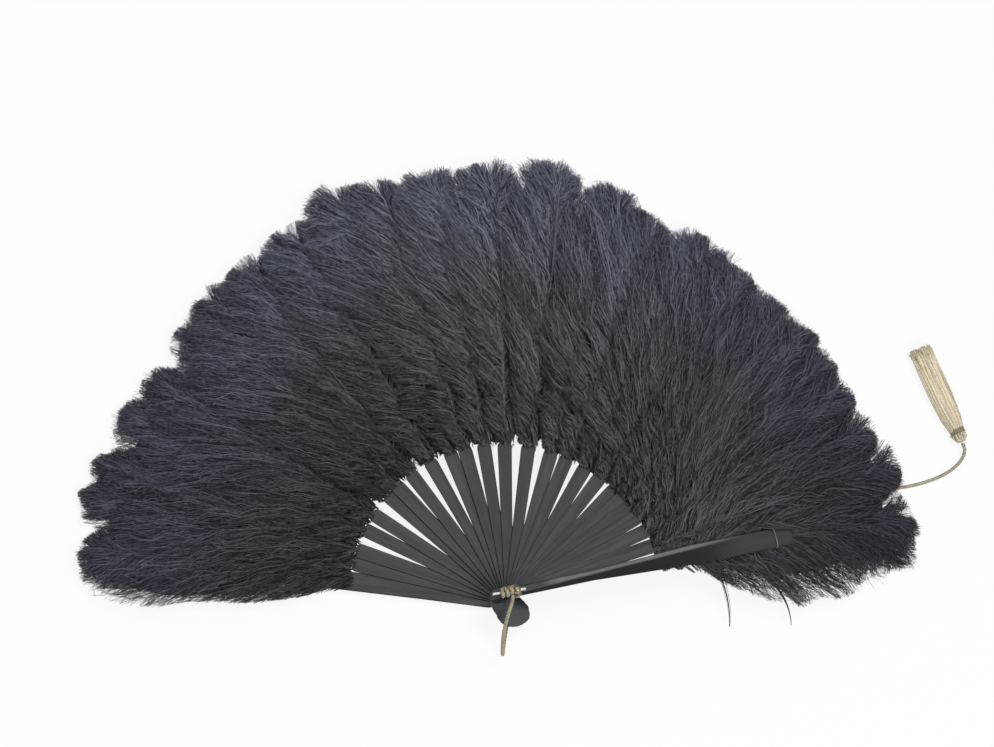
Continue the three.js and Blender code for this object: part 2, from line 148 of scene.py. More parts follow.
def tube_points(path, radius, sides, twist=None):
    """Rings of points round a path. radius is a number, one per ring, or one per ring and side."""
    across, upward = carried_frames(path)
    turn = 2 * np.pi * np.arange(sides) / sides
    turns = np.broadcast_to(turn, (len(path), sides)) if twist is None else turn + twist[:, None]
    rings = len(path) if np.ndim(radius) else 1
    sizes = np.broadcast_to(np.asarray(radius, float).reshape(rings, -1), turns.shape)
    sideways = across[:, None] * (sizes * np.cos(turns))[..., None]
    raised = upward[:, None] * (sizes * np.sin(turns))[..., None]
    return (path[:, None] + (sideways + raised)).reshape(-1, 3)


def route_curve(route, step):
    """Evenly spaced points on one smooth curve through a route's points."""
    points = np.array(route, float)
    padded = np.vstack([2 * points[0] - points[1], points, 2 * points[-1] - points[-2]])
    spans = []
    for one, two, three, four in zip(padded, padded[1:], padded[2:], padded[3:]):
        gaps = [np.linalg.norm(b - a) ** 0.5 for a, b in ((one, two), (two, three), (three, four))]
        leave = (two - one) / gaps[0] - (three - one) / (gaps[0] + gaps[1]) + (three - two) / gaps[1]
        arrive = (three - two) / gaps[1] - (four - two) / (gaps[1] + gaps[2]) + (four - three) / gaps[2]
        leave, arrive = leave * gaps[1], arrive * gaps[1]
        t = np.linspace(0, 1, SPAN_STEPS, endpoint=False)[:, None]
        bend = -3 * two + 3 * three - 2 * leave - arrive
        spans.append(two + leave * t + bend * t**2 + (2 * two - 2 * three + leave + arrive) * t**3)
    fine = np.vstack([*spans, points[-1:]])
    length = distances(fine)
    places = np.linspace(0, length[-1], int(length[-1] / step) + 1)
    return np.stack([np.interp(places, length, fine[:, axis]) for axis in range(3)], 1)


# Finishes


class Wire:
    """A socket of a finish. Arithmetic on it adds Math nodes, and put() adds any other node."""

    def __init__(self, tree, socket=None):
        self.tree = tree
        self.socket = socket

    def put(self, kind, settings=None, sockets=None, out=0):
        node = self.tree.nodes.new("ShaderNode" + kind)
        for name, value in (settings or {}).items():
            setattr(node, name, value)
        for name, value in (sockets or {}).items():
            if isinstance(value, Wire):
                self.tree.links.new(value.socket, node.inputs[name])
            else:
                node.inputs[name].default_value = value
        return Wire(self.tree, node.outputs[out] if node.outputs else None)

    def maths(self, operation, one, other):
        return self.put("Math", {"operation": operation}, {0: one, 1: other})

    def __add__(self, other):
        return self.maths("ADD", self, other)

    def __sub__(self, other):
        return self.maths("SUBTRACT", self, other)

    def __rsub__(self, other):
        return self.maths("SUBTRACT", other, self)

    def __mul__(self, other):
        return self.maths("MULTIPLY", self, other)

    def __pow__(self, other):
        return self.maths("POWER", self, other)

    def between(self, low, high, low_to=0.0, high_to=1.0):
        """This value, carried from one range to another with soft ends."""
        sockets = {"Value": self, "From Min": low, "From Max": high, "To Min": low_to, "To Max": high_to}
        return self.put("MapRange", {"interpolation_type": "SMOOTHSTEP"}, sockets)

    def blend(self, one, other):
        """One colour where this value is 0, the other where it is 1."""
        return self.put("Mix", {"data_type": "RGBA"}, {0: self, 6: one, 7: other}, out=2)

    def bump(self, strength, distance):
        return self.put("Bump", None, {"Height": self, "Strength": strength, "Distance": distance})


def colour(red, green, blue):
    return (red, green, blue, 1.0)


def new_finish(name):
    finish = bpy.data.materials.new(name)
    finish.use_nodes = True
    finish.node_tree.nodes.clear()
    return finish, Wire(finish.node_tree)


def close_finish(pen, **sockets):
    """The surface shader, with its sockets named in words."""
    named = {key.replace("_", " ").title(): value for key, value in sockets.items()}
    if "Specular Ior Level" in named:
        named["Specular IOR Level"] = named.pop("Specular Ior Level")
    shader = pen.put("BsdfPrincipled", None, named)
    pen.put("OutputMaterial", None, {"Surface": shader})


def place_of(pen):
    return pen.put("TexCoord", out="Object")


def split(pen, vector):
    parts = pen.put("SeparateXYZ", None, {0: vector})
    return [Wire(pen.tree, output) for output in parts.socket.node.outputs]


def noise(pen, vector, scale, detail=4.0, roughness=0.5):
    sockets = {"Vector": vector, "Scale": scale, "Detail": detail, "Roughness": roughness}
    return pen.put("TexNoise", None, sockets)


def attribute(pen, name):
    return pen.put("Attribute", {"attribute_name": name}, out="Fac")


# Wood: how closely its grain and streaks lie outward, round the rivet and upward
GRAIN = (7.0, 10.0, 160.0)
STREAK = (2.0, 4.0, 60.0)

# Its darks and lights at the left and the right of the fan, painted lighter at the right, where the sticks
# catch more light; where it is worn; and painted light on the tails, which lie in the stack's shadow
WOOD_DARKS = (colour(0.0055, 0.0065, 0.0088), colour(0.0075, 0.0085, 0.0105))
WOOD_LIGHTS = (colour(0.033, 0.0355, 0.042), colour(0.037, 0.039, 0.045))
WOOD_RUBBED = colour(0.058, 0.059, 0.058)
WOOD_TAIL_PAINTED_LIGHT = colour(0.06, 0.062, 0.068)
MIDDLE = 1.57  # radians, up the middle of the fan

# The front guard: its ridge's distance and turn from its centre line, its darker colour towards the end,
# the painted shade on the slope below its ridge and the painted highlight on the strip above it
RIDGE_OFF = 2
RIDGE_TURN = math.radians(2.2)
GUARD_END_SHADE = colour(0.011, 0.0115, 0.0135)
GUARD_SLOPE_PAINTED_SHADE = colour(0.0065, 0.007, 0.0085)
GUARD_STRIP_PAINTED_HIGHLIGHT = colour(0.2, 0.202, 0.208)


def stretched(pen, parts, scales):
    """A place with each of its parts drawn out by its own scale."""
    sockets = {axis: part * scale for axis, (part, scale) in enumerate(zip(parts, scales))}
    return pen.put("CombineXYZ", None, sockets)


def ebonised_wood(name, guard=None):
    """Wood with a black stain, worn dull, with the grain running out from the rivet, painted lighter at the
    right of the fan and on its tails.

    A guard, given by its direction, has painted shade on a slope along one edge and a painted highlight,
    patchy with wear, on a strip along the other.
    """
    finish, pen = new_finish(name)
    place = place_of(pen)
    x, y, z = split(pen, place)
    radius = (x * x + y * y) ** 0.5
    heading = pen.maths("ARCTAN2", y, x)
    grain = noise(pen, stretched(pen, (radius, heading, z), GRAIN), scale=5.0, detail=5.0, roughness=0.62)
    streak = noise(pen, stretched(pen, (radius, heading, z), STREAK), scale=5.0, detail=2.0)
    worn = noise(pen, place, scale=60.0, detail=5.0, roughness=0.6).between(0.52, 0.74)
    marks = noise(pen, place, scale=900.0, detail=3.0)
    # Painted light: the wood is lighter at the right of the fan, where the sticks catch more light.
    right = heading.between(0.3, 2.7, 1.0, 0.0)
    # Painted light: the tails, in the shadow of the sticks stacked above them, are painted lighter.
    tail = heading.between(-0.4, -0.1, 1.0, 0.0)
    dark, light = right.blend(*WOOD_DARKS), right.blend(*WOOD_LIGHTS)
    stain_and_painted_light = (grain * 0.6 + streak * 0.4).between(0.38, 0.64).blend(dark, light)
    from_middle = heading - MIDDLE
    stain_and_painted_light = (from_middle * from_middle).between(0.0, 0.12, 0.5, 0.0).blend(stain_and_painted_light, dark)
    wear_and_painted_light = (worn * 0.25).blend(stain_and_painted_light, WOOD_RUBBED)
    wear_and_painted_light = (tail * 0.5).blend(wear_and_painted_light, WOOD_TAIL_PAINTED_LIGHT)
    roughness = grain * 0.2 + marks * 0.1 + 0.36
    if guard is not None:
        along = x * math.cos(guard) + y * math.sin(guard)
        off = y * math.cos(guard) - x * math.sin(guard)
        above = off - along * math.tan(RIDGE_TURN) + RIDGE_OFF * MM
        near = along.between(0.15, 0.2, 1.0, 0.0)
        # Painted shade on the slope below the ridge, and a painted highlight, patchy with wear, on the
        # strip just above the ridge.
        slope = above.between(-0.0006, 0.0004, 1.0, 0.0) * near
        strip = above.between(0.0002, 0.0012) * near * along.between(0.02, 0.04)
        wear_and_painted_light = (along.between(0.12, 0.19) * 0.7).blend(wear_and_painted_light, GUARD_END_SHADE)
        wear_and_painted_light = (slope * 0.85).blend(wear_and_painted_light, GUARD_SLOPE_PAINTED_SHADE)
        wear_and_painted_light = (strip * worn.between(0.0, 1.0, 0.5, 0.9)).blend(wear_and_painted_light, GUARD_STRIP_PAINTED_HIGHLIGHT)
        roughness = roughness + slope * 0.4
    close_finish(
        pen,
        base_color=wear_and_painted_light,
        roughness=roughness,
        specular_ior_level=0.42,
        normal=marks.bump(strength=0.2, distance=0.00005),
    )
    return finish


# Plumage: its darkest and most faded barbs, each by the sticks and at the tips
DEEP = (colour(0.007, 0.007, 0.0073), colour(0.0098, 0.011, 0.0152))
FADED = (colour(0.102, 0.101, 0.099), colour(0.104, 0.115, 0.153))
QUILL_SHADE = colour(0.115, 0.122, 0.14)


def plumage():
    """Black ostrich barbs: warm and brownish by the sticks, blue-black at the tips, with painted light and
    shade that changes with direction.
    """
    finish, pen = new_finish("black_plumage")
    place = place_of(pen)
    flecks = noise(pen, place, scale=330.0, detail=2.0).between(0.3, 0.7, -0.22, 0.22)
    tone = attribute(pen, "tone") + flecks
    patch = noise(pen, place, scale=16.0, detail=2.0)
    outward = (attribute(pen, "cool") + (patch - 0.5) * 0.7).between(0.15, 1.0)
    dyed = tone.blend(outward.blend(*DEEP), outward.blend(*FADED))
    multiply = {"data_type": "RGBA", "blend_type": "MULTIPLY"}
    # The dyed colour times painted light and shade, which change with the direction from the rivet.
    lit = pen.put("Mix", multiply, {0: 1.0, 6: dyed, 7: attribute(pen, "painted_light")}, out=2)
    close_finish(
        pen,
        base_color=(attribute(pen, "quill") * 0.75).blend(lit, QUILL_SHADE),
        roughness=0.62 - tone * 0.14,
        specular_ior_level=0.3,
        sheen_weight=0.08,
        sheen_roughness=0.4,
    )
    return finish


SOIL_SHADE = colour(0.13, 0.115, 0.075)


def gilt_thread(name, dark, light, roughness, soil=0.45):
    """Dull gold thread, streaked along its strands."""
    finish, pen = new_finish(name)
    place = place_of(pen)
    tone = attribute(pen, "tone")
    soiled = noise(pen, place, scale=220.0, detail=4.0, roughness=0.6).between(0.42, 0.7)
    spun = noise(pen, place, scale=1500.0, detail=3.0)
    close_finish(
        pen,
        base_color=(soiled * soil).blend(tone.blend(dark, light), SOIL_SHADE),
        roughness=spun * 0.25 + roughness,
        metallic=tone * 0.2,
        normal=spun.bump(strength=0.3, distance=0.0002),
    )
    return finish


def old_metal(name, bright, dull, roughness):
    """Plated metal with handling marks and tarnish in patches."""
    finish, pen = new_finish(name)
    place = place_of(pen)
    tarnish = noise(pen, place, scale=380.0, detail=5.0, roughness=0.65).between(0.42, 0.7)
    marks = noise(pen, place, scale=2600.0, detail=3.0)
    close_finish(
        pen,
        base_color=tarnish.blend(bright, dull),
        metallic=1.0,
        roughness=tarnish * 0.22 + marks * 0.1 + roughness,
        normal=marks.bump(strength=0.12, distance=0.0001),
    )
    return finish


EBONISED = ebonised_wood("ebonised_wood")
PLUMAGE = plumage()
GILT_CORD = gilt_thread("gilt_cord_thread", colour(0.17, 0.155, 0.1), colour(0.5, 0.455, 0.31), 0.45)
GILT_TASSEL = gilt_thread("gilt_tassel_thread", colour(0.5, 0.43, 0.3), colour(0.9, 0.81, 0.63), 0.55, 0.14)
PALE_THREAD = gilt_thread("pale_binding_thread", colour(0.11, 0.107, 0.1), colour(0.3, 0.29, 0.27), 0.6)
SILVER = old_metal("worn_silver", colour(0.86, 0.86, 0.88), colour(0.5, 0.49, 0.47), 0.18)
BRASS = old_metal("old_brass", colour(0.5, 0.44, 0.31), colour(0.25, 0.21, 0.13), 0.28)
DARK_BRASS = old_metal("tarnished_brass", colour(0.16, 0.145, 0.12), colour(0.07, 0.065, 0.058), 0.4)


def refinish(node, finish):
    """Another finish on a node that keeps its own solid."""
    nodes[node].data.materials.clear()
    nodes[node].data.materials.append(finish)


# The cord, along the route of its solid

CORD_D = 3
CORD_PLIES = 3
CORD_PITCH = 8.5
CORD_STEP = 0.7
CORD_SIDES = 18
PLY_DEPTH = 0.16
# Painted shade: the tone in the grooves between the strands.
GROOVE_TONE = 0.15
CORD_ROUTE = [
    (-4.6, -4.5, 47.8), (-5.3, -9, 47.5), (-7.6, -15.8, 45.6), (-9.8, -23.5, 41.8), (-10.7, -31, 35.5),
    (-9.9, -37.5, 27.2), (-8, -41.9, 18.5), (-5.8, -43.3, 10.5), (-4, -41.6, 5.4), (-2.4, -37.8, 2.7),
    (-1.1, -32.5, 1.7), (0.8, -25, 1.5), (3.4, -16, 1.5), (6.4, -6, 1.5), (11, 5, 1.5),
    (24, 17, 1.5), (52, 30, 1.5), (98, 45, 1.5), (152, 58, 1.5), (210, 69, 1.5),
    (268, 77, 1.5), (322, 82, 1.5), (360, 87, 1.5), (384, 95, 2), (397, 104, 3.3),
    (401.5, 112.5, 5.9), (400.2, 119.4, 6.8),
]


def twisted_cord(name, path):
    """A piece of twisted cord along a path, with painted shade in the grooves between its strands."""
    turn = 2 * np.pi * np.arange(CORD_SIDES) / CORD_SIDES
    ply = np.abs(np.cos(CORD_PLIES * turn / 2))
    shape = (len(path), CORD_SIDES)
    radius = np.broadcast_to(CORD_D / 2 * (1 - PLY_DEPTH + PLY_DEPTH * ply), shape)
    twist = 2 * np.pi * distances(path) / CORD_PITCH
    points = tube_points(path, radius, CORD_SIDES, twist)
    faces = ring_faces(len(path), CORD_SIDES)
    piece = new_piece(name, points, faces, GILT_CORD, "back_leaf")
    set_value(piece, "tone", np.broadcast_to(GROOVE_TONE + (1 - GROOVE_TONE) * ply, shape))
    return piece


cord_path = route_curve(CORD_ROUTE, CORD_STEP)
cord = twisted_cord("gilt_cord", cord_path)
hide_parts("cord")


# The tassel, lying on its side: a bundle of threads, bound near its head

TASSEL_AT = np.array((400, 120, 6.8))
TASSEL_HEADING = math.radians(109.5)
HEAD_AT, HEAD_L = 0.5, 8
SKIRT_AT, SKIRT_END = 7.5, 85.4
SKIRT_RAGGED = 8  # how much shorter its shortest threads are
HEAD_THREADS, SKIRT_THREADS = 150, 460
HEAD_SEED, SKIRT_SEED = 4, 5
THREAD_STEPS, THREAD_SIDES = 12, 4
THREAD_R = 0.4
THREAD_SIZES = (0.8, 1.15)
PACKING = 0.3  # low, so that most threads lie near the bundle's outside
SWAY, SWAY_WAVES, SWAY_STARTS = 0.5, (0.8, 2.2), (0, 6)
FRAY, FRAY_POWER = 1.3, 6  # of the threads' ends
THREAD_TONE, THREAD_TONE_STRAY = 0.72, 0.2
NECK_TONE, NECK_FADES = 0.6, (6, 30)  # darker at the neck

# The bundle's width along the tassel, and its height as a share of that
BUNDLE = ((0, 1.2, 3.5, 7, 9.8, 13, 21, 40, 60, 86), (4, 8, 11.6, 12.2, 11.4, 14, 18.4, 21.4, 21.4, 19.6))
BUNDLE_FLAT = ((0, 13, 30), (1, 0.85, 0.55))

# The thread wound round its neck
BINDING_AT, BINDING_L, BINDING_D = 7.6, 4.4, 12.8
BINDING_TURNS, BINDING_STEPS, BINDING_SIDES = 4, 22, 8
BINDING_THREAD_R = 0.55
BINDING_TONE = 0.3


def tassel_frame(points):
    """Points along the tassel's own length, set where it lies."""
    along = np.array((math.cos(TASSEL_HEADING), math.sin(TASSEL_HEADING), 0))
    across = np.array((-along[1], along[0], 0))
    x, y, z = np.split(np.asarray(points, float), 3, axis=-1)
    return TASSEL_AT + x * along + y * across + z * np.array((0, 0, 1.0))


def make_threads(name, count, start, ends, seed):
    """Loose threads along the tassel, packed in the bundle's width."""
    draw = np.random.default_rng(seed)
    share = np.linspace(0, 1, THREAD_STEPS)
    points, faces, tones = [], [], []
    for thread in range(count):
        x = start + (draw.uniform(*ends) - start) * share
        turn = draw.uniform(0, 2 * np.pi)
        width = (np.interp(x, *BUNDLE) / 2 - THREAD_R) * draw.uniform(0, 1) ** PACKING
        sway = draw.normal(0, SWAY)
        wave = np.sin(np.pi * share * draw.uniform(*SWAY_WAVES) + draw.uniform(*SWAY_STARTS))
        sway = sway * wave * share
        sway = sway + draw.normal(0, FRAY) * share**FRAY_POWER
        height = width * np.sin(turn) * np.interp(x, *BUNDLE_FLAT)
        path = np.stack([x, width * np.cos(turn) + sway, height], 1)
        faces += ring_faces(THREAD_STEPS, THREAD_SIDES, THREAD_STEPS * THREAD_SIDES * thread)
        points.append(tube_points(path, THREAD_R * draw.uniform(*THREAD_SIZES), THREAD_SIDES))
        bright = np.clip(draw.normal(THREAD_TONE, THREAD_TONE_STRAY), 0, 1)
        bright = bright * (NECK_TONE + (1 - NECK_TONE) * smooth(x, *NECK_FADES))
        tones.append(np.repeat(np.clip(bright, 0, 1), THREAD_SIDES))
    piece = new_piece(name, tassel_frame(np.vstack(points)), faces, GILT_TASSEL, "back_leaf")
    set_value(piece, "tone", np.concatenate(tones))
    return piece


def make_binding():
    """A thread wound round the tassel's neck."""
    share = np.linspace(0, 1, BINDING_TURNS * BINDING_STEPS + 1)
    turn = 2 * np.pi * BINDING_TURNS * share
    radius = BINDING_D / 2 - BINDING_THREAD_R
    path = np.stack([BINDING_AT + BINDING_L * share, radius * np.cos(turn), radius * np.sin(turn)], 1)
    points = tassel_frame(tube_points(path, BINDING_THREAD_R, BINDING_SIDES))
    faces = ring_faces(len(path), BINDING_SIDES)
    piece = new_piece("tassel_neck_binding", points, faces, GILT_CORD, "back_leaf")
    # Painted shade: each turn of the thread is lighter along one side and darker along the other.
    ring = np.cos(2 * np.pi * np.arange(BINDING_SIDES) / BINDING_SIDES)
    set_value(piece, "tone", np.tile(BINDING_TONE + BINDING_TONE * ring, len(path)))
    return piece


skirt_ends = (SKIRT_END - SKIRT_RAGGED, SKIRT_END)
tassel_head = make_threads("tassel_head", HEAD_THREADS, HEAD_AT, (HEAD_L, HEAD_L), HEAD_SEED)
tassel_binding = make_binding()
tassel_skirt = make_threads("tassel_threads", SKIRT_THREADS, SKIRT_AT, skirt_ends, SKIRT_SEED)
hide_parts("tassel_knot")
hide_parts("tassel_binding")
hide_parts("tassel_skirt")


# The leaves of the fan, read from their solids

LEAF_COUNT = 25
FAR_R = 200  # a stick's points beyond this give its direction


class Leaf:
    """A stick or guard with its plume: where it points and how high it lies."""

    def __init__(self, place):
        self.place = place
        self.back, self.front = place == 0, place == LEAF_COUNT - 1
        if self.back or self.front:
            end = "back" if self.back else "front"
            self.stick, self.plume, self.body = f"{end}_guard", f"{end}_guard_plume", f"{end}_leaf"
        else:
            number = f"{place:02d}"
            self.stick, self.plume, self.body = f"stick_{number}", f"plume_{number}", f"leaf_{number}"
        stick = np.array([v.co for v in nodes[self.stick].data.vertices]) / MM
        far = stick[np.hypot(stick[:, 0], stick[:, 1]) > FAR_R]
        self.direction = math.atan2(far[:, 1].mean(), far[:, 0].mean())
        self.low, self.high = stick[:, 2].min(), stick[:, 2].max()

    def by_direction(self, degrees, values):
        """A value that changes with the leaf's direction."""
        return np.interp(math.degrees(self.direction), degrees, values)


leaves = [Leaf(place) for place in range(LEAF_COUNT)]
for leaf in leaves:
    refinish(leaf.stick, ebonised_wood("ebonised_guard_wood", leaf.direction) if leaf.front else EBONISED)


# Plumes: a dark mat beneath thousands of barbs, which leave a quill in locks

ROOT_R = 122
FIRST_SEED = 40
BOW_STRAY, REACH_STRAY = 3, 2  # from quill to quill

# The quill
QUILL_FROM = 1  # before the plume's root
QUILL_SHORT = 26  # from its end to the plume's tip
QUILL_R = (1.3, 0.6)
QUILL_RINGS, QUILL_SIDES = 26, 6
QUILL_SUNK = 0.2  # below the roots of the barbs
QUILL_FLOOR = 1.4
SHOWN_QUILLS = (12, 13)
QUILL_LIFT, QUILL_LIFT_R = 6, (235, 265)  # of their outer parts, above the next plume
QUILL_SHOWS_R = (262, 285)

# The crest of a plume, above its stick
CREST_CLEAR, LEAST_LOFT, LOFT = 0.6, 1.5, 11
FRONT_CREST = 3  # below the front guard
CROWN_AT = 0.45
FALL_POWER = 1.5
TIP_H = 7
SHINGLE = 0.13  # how steeply a plume rises to the left, over the one below it

# What lies below and above the plumes
FLOOR_ROOM, CORD_ROOM, FLOOR_STRAY = 0.4, 3.7, 1.5
UNDER_CORD = 21  # leaves from here on lie over the cord
GUARD_HALF_W, GUARD_END = 7.8, 236
BESIDE_GUARD, PAST_GUARD, BELOW_GUARD = 1.5, 2, 0.5

# Half widths of the vanes, at shares of the way from the root to the tip
LEFT_VANE = (
    (0, 0.03, 0.1, 0.35, 0.6, 0.85, 0.93, 0.98, 1, 1.02),
    (8.5, 11.5, 17, 30, 41, 47, 41, 31, 21, 0),
)
RIGHT_VANE = (
    (0, 0.03, 0.1, 0.35, 0.7, 0.85, 0.93, 0.98, 1, 1.02),
    (8, 10.5, 14, 20, 26, 28, 26, 21, 15, 0),
)
BACK_VANE = (
    (0, 0.077, 0.135, 0.232, 0.377, 0.57, 0.715, 0.957, 0.99, 1.025),
    (7, 7.5, 15, 21.5, 27, 33, 40, 38, 31, 0),
)
FRONT_VANE = (
    (0, 0.126, 0.17, 0.217, 0.262, 0.352, 0.442, 0.533, 0.713, 0.8, 0.88, 0.96, 0.99, 1.03),
    (5, 7.5, 14, 23, 29, 43, 52, 56, 50, 40, 38, 44, 41, 0),
)
PINCH_FROM = 0.82

# By a quill's direction in degrees: how wide its barbs spread, how far they turn, how much the tip
# narrows, how uneven the barbs are in tone and how far the plume reaches
SPREAD = ((10, 90, 125, 171), (0.95, 0.95, 0.88, 0.66))
TURN = ((10, 45, 75, 95, 130, 171), (-26, -24, -14, -4, 4, -4))
PINCH = ((10, 40, 120, 150, 171), (0.3, 0.1, 0.05, 0.35, 0.45))
UNEVEN = ((10, 60, 171), (0.62, 0.45, 0.42))
REACH = (
    (10, 45, 62, 68, 78, 87, 94, 108, 116, 126, 145, 152, 162, 171),
    (352, 347, 353, 358, 366, 355, 351, 350, 335, 331, 322, 329, 336, 332),
)

# How many degrees further left the barbs lean, at three distances from the rivet, by the quill's direction
COMB_R = (135, 205, 270)
COMB_AT = (17, 32, 47, 62, 77, 92, 107, 122, 137, 152, 167)
COMB = (
    (20, 38, 37, 29, 16, -1, 29, 2, -5, -5, -4),
    (-11, 5, 10, 33, 1, 14, 33, -6, -7, -17, -10),
    (-30, -20, 8, 8, 4, 12, 17, 13, 0, -15, -14),
)

# Locks along a side of a quill: at shares of its length, the share of TURN that they take, how many degrees
# they stand from the quill and how long they are
FULL_LOCKS, HIDDEN_LOCKS = 250, 100  # on a side that shows, and on one that the next plume hides
LOCKS_AT = (0, 0.1, 0.4, 0.8, 1)
LOCK_TURNS = (0.2, 0.6, 1, 1, 0.8)
LOCK_HEADINGS = (54, 46, 38, 28, 16)
LOCK_LENGTHS = (36, 76, 104, 86, 50)
HEADING_STRAY, BEND_STRAY = 9, 15  # degrees, from lock to lock
LENGTH_STRAY = (0.8, 1.15)

# Those below the front guard
FRONT_HEADINGS = (54, 48, 40, 28, 14)
FRONT_TURN = -2

# Locks fanned out from the quill's end
TIP_LOCKS = 100
TIP_FROM = (0.9, 1)
TIP_FAN, TIP_STRAY, TIP_BEND = 62, 6, 9  # degrees
TIP_CURL, TIP_HOOK = -16, 24  # degrees that the tufts at the tip curl, and how unevenly
TIP_LENGTHS = (30, 62)

# Short locks over the end of the stick
ROOT_LOCKS = 90
ROOT_FROM = (-0.008, 0.06)
ROOT_W, BACK_ROOT_W, FRONT_ROOT_W = 8, 5, 3  # to the side of the quill
ROOT_FAN, ROOT_STRAY, ROOT_BEND = 2.5, 22, 9  # degrees for each millimetre to the side, and degrees
ROOT_LENGTHS = (12, 30)

# Tufts along each side of a quill and at its end
SIDE_TUFTS, TIP_TUFTS = 22, 9
LOOSE = 2 * SIDE_TUFTS + TIP_TUFTS  # the number that stands for no tuft
OVERLAP_TUFTS = 15  # of a side's lie over the next plume
PULL, FRONT_PULL, TIP_PULL = 0.55, 0.7, 0.3  # how far a tuft's barbs draw together
PULL_POWER = 2.5
EDGE_RAGGED, OVERLAP_RAGGED = 0.055, 0.15  # how uneven tufts are at the fan's edge, and over the next plume
BARB_RAGGED = (0.99, 0.03)

# Barbs in a lock
BARBS = 10
FINE_STEPS, STEPS, LEAST_STEPS = 30, 12, 3
LOCK_HALF_W, LOCK_STRAY = 0.9, 0.5  # at the quill, in shares of the room for a lock
LOCK_DRAW, LOCK_DRAW_POWER = 0.6, 0.8  # how far they draw together
FIRST_BARB = -0.04  # of the quill's length
BARB_HEADING_STRAY, BARB_BEND_STRAY = 3.5, 7  # degrees
BARB_LENGTHS = (0.75, 1.06)
BEND_POWER = 1.3
WAVES = ((34, 17), (16, 14))  # lengths, and degrees that the barbs turn
WAVE_STRAY = 0.35
WAVY_L = 60  # shorter ones wave less
CURLED_SHARE, CURLED, UNCURLED, CURL_POWER = 0.2, 1.3, 0.35, 5
BARB_W, BARB_SIZES, BARB_TAPER = 0.46, (0.65, 1.2), 0.5
BARB_TILT, BARB_TWIST = 0.65, 0.5

# How far barbs rise at their middles and fall at their ends, on the left and on the right of a quill
RISE = ((1, 4.5), (-3, 0))
FALL = ((0, 4), (2, 6))
FRONT_DROOP = 2.2
LOCK_LAYER, BARB_LAYER, LAYER_BY = (-2.5, 1.5), 0.5, 0.25

# Locks of the front plume that go their own way: two wisps that hang from its edge, and those over the end
# of the guard
WISPS = (
    ((170, -13.5, 28), (180, -36.5, 16), (175.5, -57.8, 8)),
    ((215.5, -35.6, 24), (229, -51.7, 12), (226.3, -67, 8)),
    ((202, 17, 33), (210, 8, 46), (229, 4.8, 40.6)),
    ((206, 17, 33), (216, 8, 46), (236, 3.4, 40.6)),
    ((211, 17, 33), (221, 8, 46), (240, 2.2, 40.6)),
    ((215, 17, 33), (226, 8, 46), (246, 2.6, 38.5)),
    ((220, 17, 33), (231, 9, 45), (250, 3.6, 37)),
)
WISP_STRAY, WISP_TAPER = 0.9, 0.75
WISP_LOCK = (0.5, -1, 45, 0, 40, 0, LOOSE)  # a lock's row, before it is set along its wisp

# The mat
MAT_ROWS, MAT_COLUMNS = 44, 17
MAT_START = 1
MAT_SHARE, FRONT_MAT_SHARE = 0.8, 0.55  # of the outline, and of that below the front guard
MAT_END = 0.9
MAT_TAPER, MAT_TAPER_FROM = 0.2, 0.6  # of its width, at the end
MAT_DEPTH, MAT_SAG = 2.4, 2

# Tones of the plumage, from 0 for the darkest to 1, and how much cooler it is at the left and the right
# MAT_TONE is painted shade: the mat under the barbs is dark so the gaps between them look deeply shaded.
TONE, LOCK_TONE_STRAY, MAT_TONE, QUILL_TONE = 0.48, 0.14, 0.1, 0.3
QUILL_REACH = 0.5
LEFT_COOL, LEFT_DEG = 0.18, (110, 160)
RIGHT_COOL, RIGHT_DEG = 0.1, (45, 20)

# Painted light and shade: how bright it is, by the direction from the rivet in degrees, near the sticks and
# near the tips
BRIGHT_AT = (2, 24, 52, 90, 128, 163)
BRIGHT_NEAR = (0.78, 1.25, 1.1, 1.36, 0.78, 0.72)
BRIGHT_FAR = (0.46, 0.92, 1.5, 2.3, 1.5, 1.02)
FAR_FROM, FAR_BY = 0.15, 0.85


def outline(leaf, x, y):
    """Half the width of a plume, on the side of its quill where y is."""
    share = (x - ROOT_R) / (leaf.tip - ROOT_R)
    narrow = 1 - leaf.by_direction(*PINCH) * smooth(share, PINCH_FROM, 1)
    left, right = np.interp(share, *LEFT_VANE) * narrow, np.interp(share, *RIGHT_VANE) * narrow
    if leaf.back:
        left = np.interp(share, *BACK_VANE)
    if leaf.front:
        right = np.interp(share, *FRONT_VANE)
    return np.where(y > 0, left, right)


def crest(leaf, x):
    """Height of a plume's quill at a distance from the rivet."""
    share = np.clip((x - ROOT_R) / (leaf.tip - ROOT_R), 0, 1)
    base = leaf.high + CREST_CLEAR
    crown = max(base + LEAST_LOFT, LOFT)
    if leaf.front:
        base = crown = leaf.low - FRONT_CREST
    raised = base + (crown - base) * smooth(share, 0, CROWN_AT)
    past = np.clip((share - CROWN_AT) / (1 - CROWN_AT), 0, 1)
    return raised + (TIP_H - raised) * past**FALL_POWER


